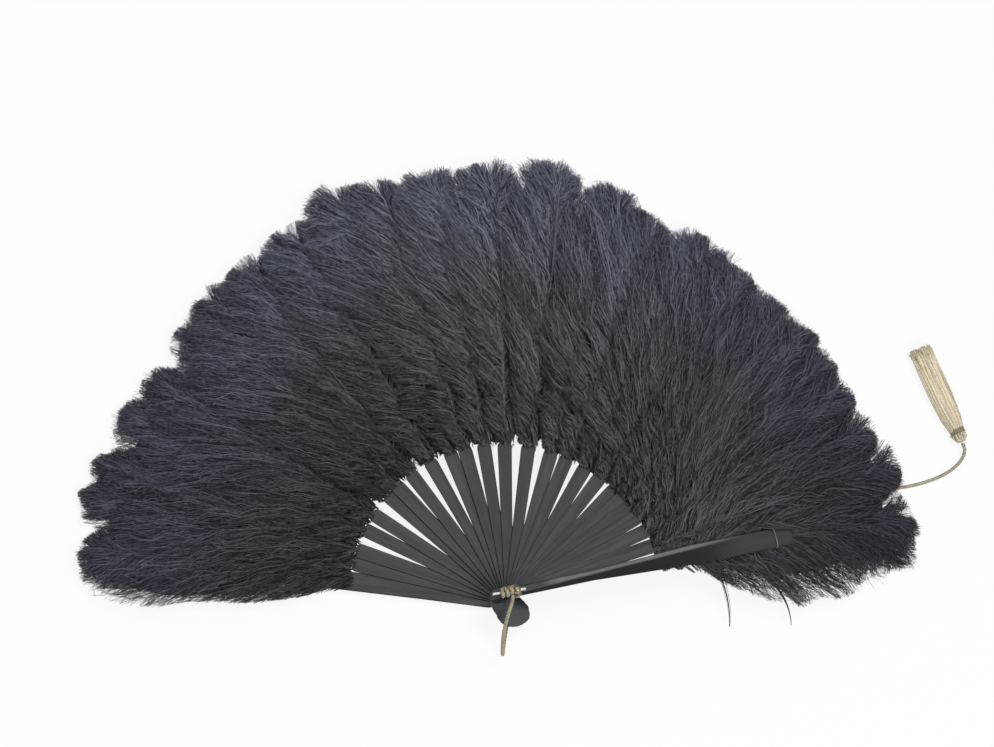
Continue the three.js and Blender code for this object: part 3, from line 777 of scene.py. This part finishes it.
def draw_locks(leaf, draw):
    """One row for each lock.

    A row says where the lock leaves the quill, its side, heading, bend, length, place across and tuft.
    """
    counts = [FULL_LOCKS, FULL_LOCKS if leaf.front else HIDDEN_LOCKS]
    along = np.concatenate([(np.arange(count) + draw.uniform(0, 1, count)) / count for count in counts])
    turn = leaf.by_direction(*TURN) * np.interp(along, LOCKS_AT, LOCK_TURNS)
    headings = np.interp(along, LOCKS_AT, LOCK_HEADINGS) * leaf.by_direction(*SPREAD)
    if leaf.front:
        below = slice(FULL_LOCKS, None)
        turn[below] = FRONT_TURN
        headings[below] = np.interp(along[below], LOCKS_AT, FRONT_HEADINGS)
    side = np.repeat([1.0, -1.0], counts)
    vanes = [
        along,
        side,
        headings + draw.normal(0, HEADING_STRAY, along.shape),
        turn + draw.normal(0, BEND_STRAY, along.shape),
        np.interp(along, LOCKS_AT, LOCK_LENGTHS) * draw.uniform(*LENGTH_STRAY, along.shape),
        np.zeros(along.shape),
        np.minimum(along * SIDE_TUFTS, SIDE_TUFTS - 1).astype(int) + SIDE_TUFTS * (side < 0),
    ]
    turn = np.linspace(-TIP_FAN, TIP_FAN, TIP_LOCKS) + draw.normal(0, TIP_STRAY, TIP_LOCKS)
    tip_tuft = np.arange(TIP_LOCKS) * TIP_TUFTS // TIP_LOCKS
    tip = [
        draw.uniform(*TIP_FROM, TIP_LOCKS),
        np.sign(turn),
        np.abs(turn),
        np.sign(turn) * draw.normal(TIP_CURL, TIP_HOOK, TIP_TUFTS)[tip_tuft]
        + draw.normal(0, TIP_BEND, TIP_LOCKS),
        draw.uniform(*TIP_LENGTHS, TIP_LOCKS),
        np.zeros(TIP_LOCKS),
        2 * SIDE_TUFTS + tip_tuft,
    ]
    left = BACK_ROOT_W if leaf.back else ROOT_W
    right = FRONT_ROOT_W if leaf.front else ROOT_W
    off = draw.uniform(-right, left, ROOT_LOCKS)
    turn = ROOT_FAN * off + draw.normal(0, ROOT_STRAY, ROOT_LOCKS)
    root = [
        draw.uniform(*ROOT_FROM, ROOT_LOCKS),
        np.sign(turn),
        np.abs(turn),
        draw.normal(0, ROOT_BEND, ROOT_LOCKS),
        draw.uniform(*ROOT_LENGTHS, ROOT_LOCKS),
        off,
        np.full(ROOT_LOCKS, LOOSE),
    ]
    rows = [vanes, tip, root]
    if leaf.front:
        rows.append(np.tile(np.array(WISP_LOCK)[:, None], len(WISPS)))
    return np.hstack(rows).T


def running_sum(steps):
    return np.concatenate([np.zeros((len(steps), 1)), np.cumsum(steps[:, :-1], 1)], 1)


def grow_barbs(leaf, draw, locks):
    """Flat paths of a plume's barbs: distances from the rivet, and across the quill."""
    along, side, first, bend, length, off, tuft = np.repeat(locks, BARBS, axis=0).T
    total = len(along)
    pitch = 1 / FULL_LOCKS
    apart = np.tile(np.linspace(-LOCK_HALF_W, LOCK_HALF_W, BARBS), len(locks)) * pitch
    apart = apart + draw.normal(0, LOCK_STRAY * pitch, total)
    quill_l = leaf.tip - QUILL_SHORT - ROOT_R
    start = ROOT_R + np.clip(along + apart, FIRST_BARB, 1) * quill_l
    first = np.radians(first + draw.normal(0, BARB_HEADING_STRAY, total))
    bend = np.radians(bend + draw.normal(0, BARB_BEND_STRAY, total))
    length = length * draw.uniform(*BARB_LENGTHS, total)
    share = np.linspace(0, 1, FINE_STEPS + 1)
    heading = side[:, None] * (first[:, None] + bend[:, None] * share**BEND_POWER)
    calm = np.minimum(length / WAVY_L, 1)[:, None]
    for wave_l, swing in WAVES:
        turn = np.repeat(np.radians(draw.normal(0, swing, len(locks))), BARBS)
        phase = np.repeat(draw.uniform(0, 2 * np.pi, len(locks)), BARBS)
        phase = phase + draw.normal(0, WAVE_STRAY, total)
        wave = np.sin(2 * np.pi * length[:, None] * share / wave_l + phase[:, None])
        heading += calm * turn[:, None] * wave
    curl = draw.normal(0, 1, total) * np.where(draw.random(total) < CURLED_SHARE, CURLED, UNCURLED)
    heading += curl[:, None] * share**CURL_POWER
    step = (length / FINE_STEPS)[:, None]
    comb = [leaf.by_direction(COMB_AT, row) for row in COMB]
    lean = np.interp(start[:, None] + running_sum(step * np.cos(heading)), COMB_R, comb)
    combed = (tuft // SIDE_TUFTS != 1) & (not leaf.back)
    heading += np.radians(lean) * combed[:, None]
    x = start[:, None] + running_sum(step * np.cos(heading))
    y = off[:, None] + running_sum(step * np.sin(heading))
    x -= LOCK_DRAW * quill_l * apart[:, None] * share**LOCK_DRAW_POWER
    return clip_barbs(leaf, draw, x, y, tuft.astype(int))


def clip_barbs(leaf, draw, x, y, tuft):
    """Each barb up to where it meets the plume's outline, give or take a little, in fewer steps."""
    tiny = 1e-6
    over = np.abs(y) - outline(leaf, x, y)
    drawn = (over.max(axis=1) > 0) & (tuft < LOOSE)
    over[:, -1] = np.maximum(over[:, -1], tiny)
    beyond = np.argmax(over > 0, axis=1)
    before = np.maximum(beyond - 1, 0)
    rows = np.arange(len(x))
    inside, outside = over[rows, before], over[rows, beyond]
    end = before + inside / np.minimum(inside - outside, -tiny)
    ragged = np.full(LOOSE + 1, EDGE_RAGGED)
    if not leaf.back:
        ragged[:OVERLAP_TUFTS] = OVERLAP_RAGGED
    uneven = draw.normal(1.0, ragged)[tuft] * draw.normal(*BARB_RAGGED, len(x))
    end = np.clip(end * uneven, LEAST_STEPS, FINE_STEPS)
    places = end[:, None] * np.linspace(0, 1, STEPS + 1)
    low = np.minimum(places.astype(int), FINE_STEPS - 1)
    rest = places - low

    def at_places(values):
        here, there = np.take_along_axis(values, low, 1), np.take_along_axis(values, low + 1, 1)
        return here * (1 - rest) + there * rest

    front = leaf.front & (tuft >= SIDE_TUFTS) & (tuft < 2 * SIDE_TUFTS)
    pull = np.where(front, FRONT_PULL, np.where(tuft < 2 * SIDE_TUFTS, PULL, TIP_PULL)) * drawn
    return gather(at_places(x), tuft, drawn, pull), gather(at_places(y), tuft, drawn, pull)


def gather(places, tuft, drawn, pull):
    """Barbs drawn towards the middle of their tuft's ends."""
    ends = np.bincount(tuft, places[:, -1] * drawn) / np.maximum(np.bincount(tuft, drawn), 1)
    nearer = pull * (ends[tuft] - places[:, -1])
    return places + nearer[:, None] * np.linspace(0, 1, places.shape[1]) ** PULL_POWER


def raise_barbs(leaf, draw, locks, x, y):
    """Heights of a plume's barbs, arched along their lengths."""
    share = np.linspace(0, 1, x.shape[1])
    left = locks[:, 1] > 0
    rise = np.where(left, *[draw.uniform(*span, len(locks)) for span in RISE])
    fall = np.where(left, *[draw.uniform(*span, len(locks)) for span in FALL])
    if leaf.front:
        fall = np.where(left, fall, FRONT_DROOP * fall)
    layer = draw.uniform(*LOCK_LAYER, len(locks))
    rise, fall, layer = (np.repeat(values, BARBS)[:, None] for values in (rise, fall, layer))
    z = crest(leaf, x) + SHINGLE * y + rise * 4 * share * (1 - share) - fall * share**2
    return z + (layer + draw.normal(0, BARB_LAYER, (len(x), 1))) * smooth(share, 0, LAYER_BY)


def hang_wisps(draw, x, y, z):
    """The front plume's last locks, set along the wisps."""
    share = np.linspace(0, 1, x.shape[1])
    for number, (start, middle, end) in enumerate(WISPS):
        rows = slice(len(x) - BARBS * (number + 1), len(x) - BARBS * number)
        stray = draw.normal(0, 1, (3, BARBS, 1)) * (WISP_STRAY - WISP_TAPER * share)
        for values, one, two, three, off in zip((x, y, z), start, middle, end, stray):
            values[rows] = one * (1 - share) ** 2 + 2 * two * share * (1 - share) + three * share**2 + off


def settle(leaf, x, y, z, floor):
    """Points beside a quill set in the fan's frame, above the floor and below the front guard."""
    world_x = x * math.cos(leaf.direction) - y * math.sin(leaf.direction)
    world_y = x * math.sin(leaf.direction) + y * math.cos(leaf.direction)
    guard = leaves[-1]
    down_guard = world_x * math.cos(guard.direction) + world_y * math.sin(guard.direction)
    off_guard = world_y * math.cos(guard.direction) - world_x * math.sin(guard.direction)
    under = (np.abs(off_guard) < GUARD_HALF_W + BESIDE_GUARD) & (down_guard < GUARD_END + PAST_GUARD)
    z = np.where(under, np.minimum(z, guard.low - BELOW_GUARD), z)
    return np.stack([world_x, world_y, np.maximum(z, floor)], -1)


def ribbons(draw, paths):
    """Flat tapering ribbons along paths, as points and quads."""
    total, columns = paths.shape[:2]
    share = np.linspace(0, 1, columns)
    along = unit(np.gradient(paths, axis=1))
    flat = unit(np.cross(along, [0, 0, 1.0]))
    upright = np.cross(flat, along)
    tilt = draw.normal(0, BARB_TILT, total)[:, None]
    tilt = (tilt + draw.normal(0, BARB_TWIST, total)[:, None] * share)[..., None]
    half = (BARB_W / 2 * draw.uniform(*BARB_SIZES, total))[:, None, None]
    half = half * (1 - BARB_TAPER * share**2)[None, :, None]
    across = (flat * np.cos(tilt) + upright * np.sin(tilt)) * half
    points = np.stack([paths - across, paths + across], 2).reshape(-1, 3)
    corner = np.arange(total * columns * 2).reshape(total, columns, 2)
    quads = np.stack([corner[:, :-1, 0], corner[:, :-1, 1], corner[:, 1:, 1], corner[:, 1:, 0]], -1)
    return points, quads.reshape(-1, 4)


def make_mat(leaf, floor):
    """The dense underside of a plume, as points, quads and how far out each point lies."""
    share = np.linspace(0, MAT_END, MAT_ROWS)[:, None]
    across = np.linspace(-1, 1, MAT_COLUMNS)[None, :]
    x = ROOT_R + MAT_START + share * (leaf.tip - ROOT_R - MAT_START) + 0 * across
    below = (across < 0) & leaf.front
    y = across * outline(leaf, x, across + 0 * x) * np.where(below, FRONT_MAT_SHARE, MAT_SHARE)
    y = y * (1 - MAT_TAPER * smooth(share, MAT_TAPER_FROM, MAT_END))
    z = crest(leaf, x) + SHINGLE * y - MAT_DEPTH - MAT_SAG * across**2
    corner = np.arange(x.size).reshape(x.shape)
    quads = np.stack([corner[:-1, :-1], corner[1:, :-1], corner[1:, 1:], corner[:-1, 1:]], -1)
    points = settle(leaf, x, y + leaf.bow * share**2, z, floor)
    reach = np.clip(share + 0 * across, 0, 1)
    return points.reshape(-1, 3), quads.reshape(-1, 4), reach.ravel()


def make_quill(leaf):
    """A plume's quill, as points and faces."""
    x = np.linspace(ROOT_R - QUILL_FROM, leaf.tip - QUILL_SHORT, QUILL_RINGS)
    y = leaf.bow * ((x - ROOT_R) / (leaf.tip - ROOT_R)) ** 2
    lift = QUILL_LIFT * smooth(x, *QUILL_LIFT_R) if leaf.place in SHOWN_QUILLS else 0
    path = settle(leaf, x, y, crest(leaf, x) - QUILL_SUNK + lift, QUILL_FLOOR)
    points = tube_points(path, np.linspace(*QUILL_R, QUILL_RINGS), QUILL_SIDES)
    return points, ring_faces(QUILL_RINGS, QUILL_SIDES)


def painted_light(heading, reach):
    """Painted light and shade: how bright the plumage is at a direction, in degrees, and a share of the way
    to the tips.
    """
    far = smooth(reach, FAR_FROM, FAR_BY)
    near_shade, far_shade = (np.interp(heading, BRIGHT_AT, row) for row in (BRIGHT_NEAR, BRIGHT_FAR))
    return near_shade * (1 - far) + far_shade * far


def make_plume(leaf):
    draw = np.random.default_rng(FIRST_SEED + leaf.place)
    leaf.bow = 0 if leaf.back or leaf.front else draw.normal(0, BOW_STRAY)
    leaf.tip = leaf.by_direction(*REACH) + draw.normal(0, REACH_STRAY)
    floor = CORD_ROOM if leaf.place >= UNDER_CORD else FLOOR_ROOM
    locks = draw_locks(leaf, draw)
    x, y = grow_barbs(leaf, draw, locks)
    total, columns = x.shape
    z = raise_barbs(leaf, draw, locks, x, y)
    if leaf.front:
        hang_wisps(draw, x, y, z)
    reach = np.clip((x - ROOT_R) / (leaf.tip - ROOT_R), 0, 1)
    floors = floor + draw.uniform(0, FLOOR_STRAY, (total, 1))
    paths = settle(leaf, x, y + leaf.bow * reach**2, z, floors)
    if leaf.front:
        hung = len(WISPS) * BARBS
        paths[-hung:, :, 2] = z[-hung:]

    barb_points, barb_quads = ribbons(draw, paths)
    mat_points, mat_quads, mat_reach = make_mat(leaf, floor)
    quill_points, quill_faces = make_quill(leaf)
    mat_first = len(barb_points)
    quill_first = mat_first + len(mat_points)
    faces = barb_quads.tolist() + (mat_quads + mat_first).tolist()
    faces += [tuple(corner + quill_first for corner in face) for face in quill_faces]
    points = np.vstack([barb_points, mat_points, quill_points])
    piece = new_piece(f"ostrich_{leaf.plume}", points, faces, PLUMAGE, leaf.body)

    tone = TONE + np.repeat(draw.normal(0, LOCK_TONE_STRAY, len(locks)), BARBS)
    tone = np.clip(tone + draw.normal(0, leaf.by_direction(*UNEVEN), total), 0, 1)
    mat, quill = np.ones(len(mat_points)), np.ones(len(quill_points))
    # The mat's low tone is painted shade in the gaps between barbs.
    tones = np.concatenate([np.repeat(tone, columns * 2), MAT_TONE * mat, QUILL_TONE * quill])
    reach = np.concatenate([np.repeat(reach.ravel(), 2), mat_reach, QUILL_REACH * quill])
    heading = np.degrees(np.arctan2(points[:, 1], points[:, 0]))
    cool = reach + LEFT_COOL * smooth(heading, *LEFT_DEG) + RIGHT_COOL * smooth(heading, *RIGHT_DEG)
    shown = smooth(np.hypot(*quill_points[:, :2].T), *QUILL_SHOWS_R) * (leaf.place in SHOWN_QUILLS)
    set_value(piece, "tone", tones)
    set_value(piece, "cool", cool)
    # Painted light and shade, by the direction from the rivet and the reach.
    set_value(piece, "painted_light", painted_light(heading, reach))
    set_value(piece, "quill", np.concatenate([np.zeros(quill_first), shown]))
    lay_out(piece, total, columns, len(quill_points))
    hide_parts(leaf.plume)
    flatten(piece, leaf)


# The flat layout of a plume's finish: barbs in cells, the mat in a strip and the quill in a spot

CELL_U, CELL_V = (0.2, 0.8), (0.1, 0.9)  # a barb's part of its cell
BARBS_V = 0.8
MAT_U, MAT_V = (0.02, 0.6), (0.82, 0.98)
QUILL_U, QUILL_V = (0.7, 0.95), (0.85, 0.95)


def lay_out(piece, total, columns, quill_count):
    cells = math.ceil(math.sqrt(total))
    cell = np.arange(total)
    corner = np.stack([cell % cells, cell // cells], 1)[:, None, None, :]
    u, v = np.meshgrid(CELL_U, np.linspace(*CELL_V, columns))
    barbs = (corner + np.stack([u, v], -1)[None]) / cells * (1, BARBS_V)
    u, v = np.meshgrid(np.linspace(*MAT_U, MAT_COLUMNS), np.linspace(*MAT_V, MAT_ROWS))
    mat = np.stack([u, v], -1)
    quill = np.stack([np.linspace(*QUILL_U, quill_count), np.linspace(*QUILL_V, quill_count)], 1)
    places = np.vstack([barbs.reshape(-1, 2), mat.reshape(-1, 2), quill])
    corners = np.empty(len(piece.data.loops), np.int32)
    piece.data.loops.foreach_get("vertex_index", corners)
    layer = piece.data.uv_layers.new(name="OFBake")
    layer.data.foreach_set("uv", places[corners].astype(np.float32).ravel())


# The room a plume would take in its own leaf's place in the stack as the fan closes. flatten() works out
# where it would lie there, but leaves the plume's shape as it is and only gives it its own mesh

STACK_ROOM = 1.1
GUARD_ROOM = 0.24  # for a guard's plume
GUARD_STEP = 0.15  # from the guard to the middle of that room


def flatten(piece, leaf):
    heights = np.array([v.co.z for v in piece.data.vertices]) / MM
    middle, room = (leaf.low + leaf.high) / 2, STACK_ROOM
    if leaf.back:
        middle, room = leaf.high + GUARD_STEP, GUARD_ROOM
    if leaf.front:
        middle, room = leaf.low - GUARD_STEP, GUARD_ROOM
    keep = room / (heights.max() - heights.min())
    anchor = (middle - keep * (heights.max() + heights.min()) / 2) / (1 - keep)
    anchor * MM
    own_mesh(piece)


for leaf in leaves:
    make_plume(leaf)


# Metal, and the cord's hitch round the toggle bar

METALS = {"rivet_pin": DARK_BRASS, "rivet_washer": DARK_BRASS, "cord_eye": BRASS, "toggle_bar": SILVER}
for name, metal in METALS.items():
    refinish(name, metal)

BAR_Z = 44.9
BAR_TURN = math.radians(8)
HITCH_R = 2.9
HITCH_FROM, HITCH_TO = -12.8, -5.2
HITCH_TURNS = 2
HITCH_STEPS = 180
HITCH_ENDS = (3.0, 1.98, 0.99)  # how far the ends lead past the bar's middle


def turned(path, angle):
    """A path turned about the rivet."""
    return path @ np.array(Matrix.Rotation(angle, 3, "Z").transposed())


def make_hitch():
    share = np.linspace(0, 1, HITCH_STEPS)
    turn = 2 * np.pi * HITCH_TURNS * (1 - share)
    x = HITCH_FROM + (HITCH_TO - HITCH_FROM) * share
    wind = np.stack([x, HITCH_R * np.sin(turn), BAR_Z + HITCH_R * np.cos(turn)], 1)
    lead = np.array([[HITCH_FROM, y, BAR_Z + HITCH_R] for y in HITCH_ENDS])
    leave = np.array([[HITCH_TO, -y, BAR_Z + HITCH_R] for y in reversed(HITCH_ENDS)])
    piece = twisted_cord("gilt_cord_hitch", turned(np.vstack([lead, wind, leave]), BAR_TURN))
    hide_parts("cord_hitch")


make_hitch()


# The thread tied over the end of the front guard

LOOP_R, LOOP_BOW = 220, 3
LOOP_THREAD_R = 0.4
LOOP_SIDES = 8
LOOP_STEP = 0.5
LOOP_TONE = 0.5
LOOP_END = 0.5  # above the guard's underside
LOOP_CORNER = (0.6, 0.4)  # cut off at the guard's edges, across and downward


def make_guard_loop():
    guard = leaves[-1]
    half, top = GUARD_HALF_W + LOOP_THREAD_R, guard.high + LOOP_THREAD_R
    edge = [(half, guard.low + LOOP_END), (half, top - LOOP_CORNER[1]), (half - LOOP_CORNER[0], top)]
    corners = [(-y, z) for y, z in edge] + edge[::-1]
    route = [(LOOP_R + LOOP_BOW * (1 - (y / half) ** 2), y, z) for y, z in corners]
    path = turned(route_curve(route, LOOP_STEP), guard.direction)
    points = tube_points(path, LOOP_THREAD_R, LOOP_SIDES)
    faces = ring_faces(len(path), LOOP_SIDES)
    piece = new_piece("guard_thread_loop", points, faces, PALE_THREAD, "front_leaf")
    set_value(piece, "tone", np.full(len(points), LOOP_TONE))


make_guard_loop()


# Floor and light

FLOOR_HALF, FLOOR_Z = 20.0, -0.0003
FLOOR_WHITE = 0.86  # how far the floor shows as plain white
WORLD_SEEN, WORLD_LIGHT = 0.55, 0.45


def make_floor():
    finish, pen = new_finish("pale_floor")
    seen = pen.put("LightPath", out="Is Camera Ray") + pen.put("LightPath", out="Is Glossy Ray")
    seen = pen.maths("MINIMUM", seen, 1.0)
    matt = pen.put("BsdfDiffuse", None, {"Color": colour(0.9, 0.9, 0.9)})
    white = pen.put("Emission", None, {"Color": colour(1, 1, 1), "Strength": 1.0})
    shader = pen.put("MixShader", None, {0: seen * FLOOR_WHITE, 1: matt, 2: white})
    pen.put("OutputMaterial", None, {"Surface": shader})
    mesh = bpy.data.meshes.new("floor")
    signs = ((-1, -1), (1, -1), (1, 1), (-1, 1))
    mesh.from_pydata([(FLOOR_HALF * x, FLOOR_HALF * y, FLOOR_Z) for x, y in signs], [], [(0, 1, 2, 3)])
    mesh.materials.append(finish)
    floor = bpy.data.objects.new("floor", mesh)
    bpy.context.scene.collection.objects.link(floor)


def make_light(name, place, aim, size, power):
    data = bpy.data.lights.new(name, "AREA")
    data.shape = "DISK"
    data.size = size
    data.energy = power
    lamp = bpy.data.objects.new(name, data)
    lamp.location = place
    lamp.rotation_mode = "QUATERNION"
    lamp.rotation_quaternion = (Vector(aim) - Vector(place)).to_track_quat("-Z", "Y")
    bpy.context.scene.collection.objects.link(lamp)


def make_world():
    world = bpy.data.worlds.new("studio")
    bpy.context.scene.world = world
    world.use_nodes = True
    world.node_tree.nodes.clear()
    pen = Wire(world.node_tree)
    strength = pen.put("LightPath", out="Is Camera Ray") * WORLD_SEEN + WORLD_LIGHT
    background = pen.put("Background", None, {"Color": colour(1, 1, 1), "Strength": strength})
    pen.put("OutputWorld", None, {"Surface": background})


make_floor()
make_world()
make_light("key_light", place=(0.3, 0.8, 2.6), aim=(0, 0.15, 0), size=1.0, power=24)
make_light("fill_light", place=(0.5, -1.5, 2.3), aim=(0, 0.1, 0), size=1.4, power=30)

settings = bpy.context.scene.view_settings
settings.view_transform = "Standard"
